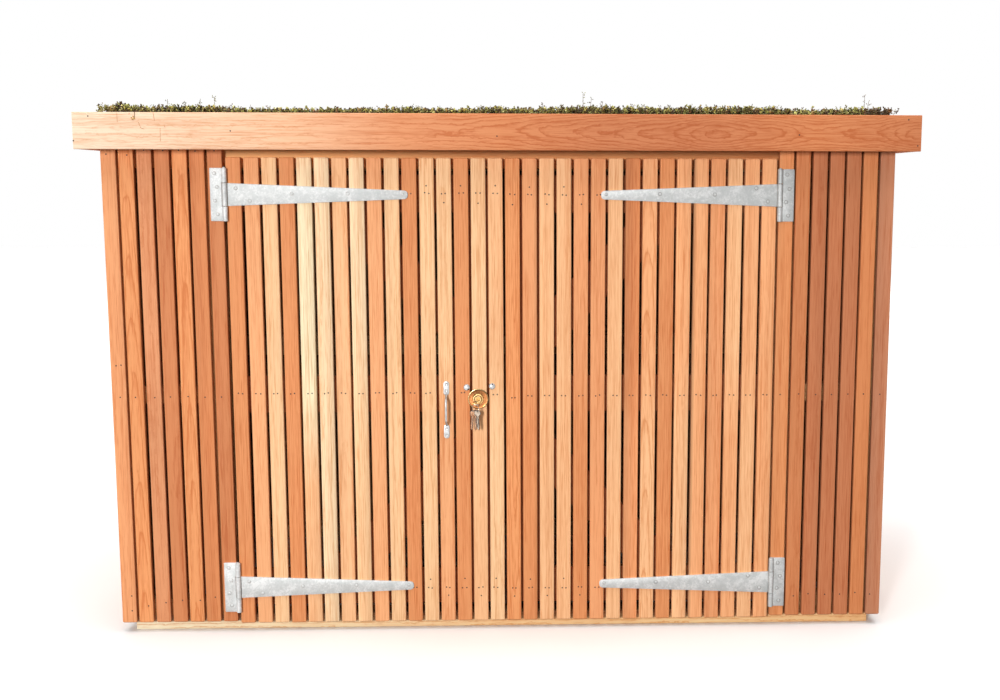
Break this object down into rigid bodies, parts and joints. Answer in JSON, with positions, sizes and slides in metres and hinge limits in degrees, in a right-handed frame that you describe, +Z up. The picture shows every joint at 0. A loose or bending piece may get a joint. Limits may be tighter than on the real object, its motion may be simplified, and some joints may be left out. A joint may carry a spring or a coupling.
{
  "type": "bike shelter",
  "caption": "Low timber bike shelter clad in upright cedar slats, with a pair of tee-hinged doors, a pull handle, a lock and a flat planted roof.",
  "frame": {"origin": "middle of the footprint under the roof, at the underside of the sills", "axes": "+Z up, +X to the right across the doors, +Y from the doors to the back"},
  "size_m": [2.12, 1.102, 1.3712],
  "materials": {
    "cedar": "oiled, matt",
    "cedar_frame": "sawn",
    "softwood": "planed",
    "plywood": "plain",
    "galvanised": "hot-dip galvanised",
    "zinc": "zinc plated",
    "brass": "satin",
    "key_metal": "nickel plated",
    "liner": "matt",
    "medium": "loose, crumbly",
    "sedum": "living plants"
  },
  "bodies": {
    "shelter": {"front_sill": "softwood", "back_sill": "softwood", "side_sills": "softwood", "corner_posts": "softwood", "jamb_posts": "softwood", "door_header": "softwood", "back_beam": "softwood", "side_plates": "softwood", "rafters": "softwood", "wall_rails": "softwood", "front_noggins": "softwood", "side_linings": "plywood", "back_lining": "plywood", "front_left_slats": "cedar", "front_right_slats": "cedar", "left_side_slats": "cedar", "right_side_slats": "cedar", "back_slats": "cedar", "roof_deck": "plywood", "side_fascias": "cedar", "front_fascia": "cedar", "back_fascia": "cedar", "end_kerbs": "softwood", "side_kerbs": "softwood", "roof_liner": "liner", "growing_medium": "medium", "sedum_mat": "sedum", "left_hinge_plates": "galvanised", "right_hinge_plates": "galvanised"},
    "left_door": {"left_door_slats": "cedar", "left_door_rails": "cedar_frame", "left_door_stile": "cedar_frame", "left_door_braces": "cedar_frame", "left_hinge_straps": "galvanised", "pull_handle": "zinc", "lock_cylinder": "brass", "lock_case": "zinc", "lock_bolt": "zinc", "key_bunch": "key_metal"},
    "right_door": {"right_door_slats": "cedar", "right_door_rails": "cedar_frame", "right_door_stile": "cedar_frame", "right_door_braces": "cedar_frame", "right_hinge_straps": "galvanised", "lock_strike": "zinc"}
  },
  "joints": [
    {"name": "left_door_hinge", "type": "hinge", "parent": "shelter", "child": "left_door", "pos_m": [-0.7025, -0.5075, 0.63775], "axis": [0, 0, -1], "range_deg": [0, 160]},
    {"name": "right_door_hinge", "type": "hinge", "parent": "shelter", "child": "right_door", "pos_m": [0.7105, -0.5075, 0.63775], "axis": [0, 0, 1], "range_deg": [0, 160]}
  ]
}
